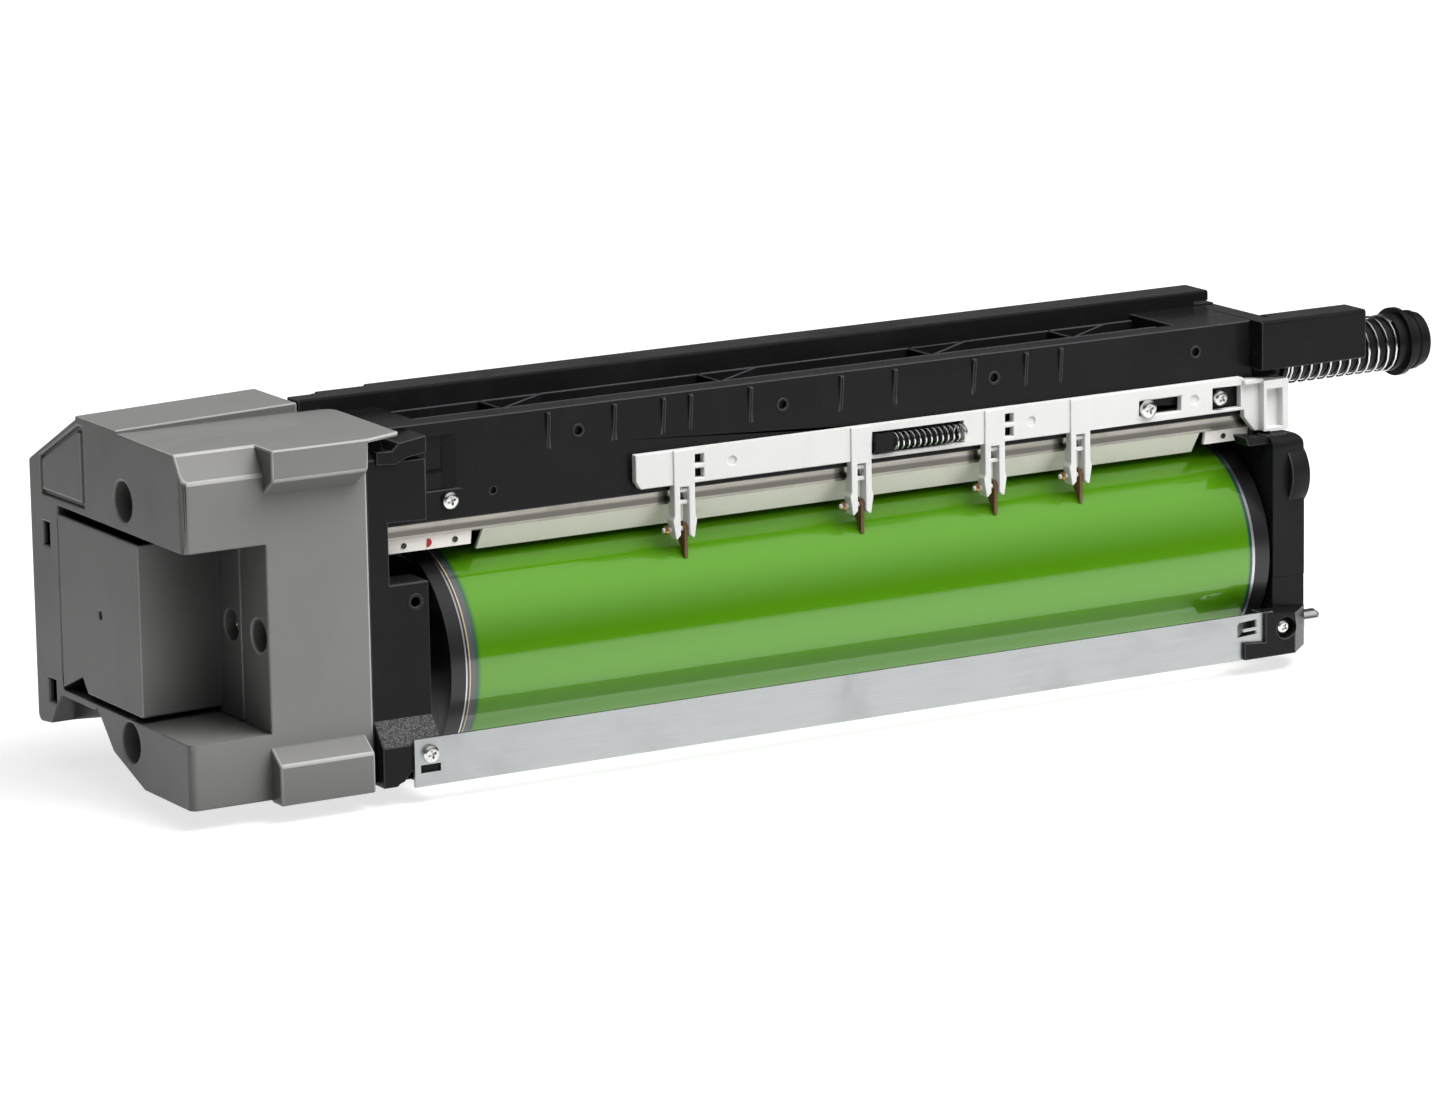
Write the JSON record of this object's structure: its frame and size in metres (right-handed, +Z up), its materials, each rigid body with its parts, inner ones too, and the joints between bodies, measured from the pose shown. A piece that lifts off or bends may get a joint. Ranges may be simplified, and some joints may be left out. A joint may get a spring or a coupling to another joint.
{
  "type": "printer drum unit",
  "caption": "Photoconductor drum between two moulded end frames, with a grey handle cover, a cleaner beam with a sliding claw bar and a sprung waste toner outlet.",
  "frame": {"origin": "on the drum axis at the outer face of the drive flange, inside the coupling bore", "axes": "+X along the drum axis towards the drive end, +Y to the rear, +Z up; the front cover is at -X"},
  "size_m": [0.56, 0.1414, 0.143],
  "materials": {
    "grey_shell": "satin",
    "black_moulding": "satin",
    "black_screw": "satin",
    "drum_coat": "gloss",
    "bearing_steel": "polished",
    "bush": "satin",
    "white_moulding": "satin",
    "zinc_plate": "satin",
    "polished_strip": "polished",
    "cream_lip": "satin",
    "blade_rubber": "satin",
    "picker_claw": "satin",
    "copper_coil": "satin"
  },
  "bodies": {
    "frame": {"front_cover": "grey_shell", "inner_cover": "grey_shell", "inner_cover_screw": "black_screw", "cover_screws": "black_screw", "front_frame": "black_moulding", "front_bearing": "bearing_steel", "auger_bush": "bush", "idler_stud": "bearing_steel", "cleaner_housing": "black_moulding", "guide_rail": "black_moulding", "seal_bracket": "polished_strip", "recovery_seal": "cream_lip", "front_end_seal": "cream_lip", "drive_end_seal": "cream_lip", "blade_bracket": "zinc_plate", "cleaning_blade": "blade_rubber", "blade_screws": "zinc_plate", "spring_mandrel": "black_moulding", "slider_spring": "bearing_steel", "slider_screws": "zinc_plate", "housing_screw": "zinc_plate", "charger_shield": "zinc_plate", "charger_grid": "zinc_plate", "charger_wire": "bearing_steel", "charger_front_block": "black_moulding", "charger_drive_block": "black_moulding", "charger_cover": "black_moulding", "rear_tie_rail": "zinc_plate", "drive_frame": "black_moulding", "drive_bearing": "bearing_steel", "locating_pin": "bearing_steel", "outlet_tube": "black_moulding", "shutter_spring": "bearing_steel", "tube_end_cap": "black_moulding", "tube_guard": "black_moulding", "tie_plate": "zinc_plate", "tie_plate_screws": "zinc_plate"},
    "drum": {"drum_tube": "drum_coat", "front_flange": "black_moulding", "drive_flange": "black_moulding", "drum_gear": "white_moulding"},
    "idler": {"idler_gear": "white_moulding"},
    "auger": {"auger": "black_moulding", "auger_gear": "white_moulding"},
    "slider": {"picker_slider": "white_moulding", "finger_spring_front": "copper_coil", "finger_spring_second": "copper_coil", "finger_spring_third": "copper_coil", "finger_spring_drive": "copper_coil"},
    "shutter": {"outlet_shutter": "black_moulding"},
    "finger_front": {"picker_finger_front": "picker_claw"},
    "finger_second": {"picker_finger_second": "picker_claw"},
    "finger_third": {"picker_finger_third": "picker_claw"},
    "finger_drive": {"picker_finger_drive": "picker_claw"}
  },
  "joints": [
    {"name": "drum_spin", "type": "hinge", "parent": "frame", "child": "drum", "pos_m": [0, 0, 0], "axis": [1, 0, 0], "continuous": true},
    {"name": "idler_spin", "type": "hinge", "parent": "frame", "child": "idler", "pos_m": [-0.406, -0.0036, 0.03959], "axis": [1, 0, 0], "continuous": true},
    {"name": "auger_spin", "type": "hinge", "parent": "frame", "child": "auger", "pos_m": [0, -0.019, 0.0746], "axis": [1, 0, 0], "continuous": true},
    {"name": "slider_shuttle", "type": "slide", "parent": "frame", "child": "slider", "axis": [-1, 0, 0], "range_m": [0, 0.006], "stiffness_N_per_m": 300, "springref_m": -0.004, "deforming": ["slider_spring"]},
    {"name": "shutter_slide", "type": "slide", "parent": "frame", "child": "shutter", "axis": [-1, 0, 0], "range_m": [0, 0.0135], "stiffness_N_per_m": 150, "springref_m": -0.006, "deforming": ["shutter_spring"]},
    {"name": "finger_front_tilt", "type": "hinge", "parent": "slider", "child": "finger_front", "pos_m": [-0.2587, -0.029, 0.0402], "axis": [-1, 0, 0], "range_deg": [0, 10], "stiffness_Nm_per_rad": 0.0005, "springref_deg": -11.46},
    {"name": "finger_second_tilt", "type": "hinge", "parent": "slider", "child": "finger_second", "pos_m": [-0.1809, -0.029, 0.0402], "axis": [-1, 0, 0], "range_deg": [0, 10], "stiffness_Nm_per_rad": 0.0005, "springref_deg": -11.46},
    {"name": "finger_third_tilt", "type": "hinge", "parent": "slider", "child": "finger_third", "pos_m": [-0.1206, -0.029, 0.0402], "axis": [-1, 0, 0], "range_deg": [0, 10], "stiffness_Nm_per_rad": 0.0005, "springref_deg": -11.46},
    {"name": "finger_drive_tilt", "type": "hinge", "parent": "slider", "child": "finger_drive", "pos_m": [-0.0813, -0.029, 0.0402], "axis": [-1, 0, 0], "range_deg": [0, 10], "stiffness_Nm_per_rad": 0.0005, "springref_deg": -11.46}
  ],
  "couplings": [
    {"joint": "idler_spin", "follows": "drum_spin", "ratio": -0.70968},
    {"joint": "auger_spin", "follows": "drum_spin", "ratio": 1.1}
  ]
}
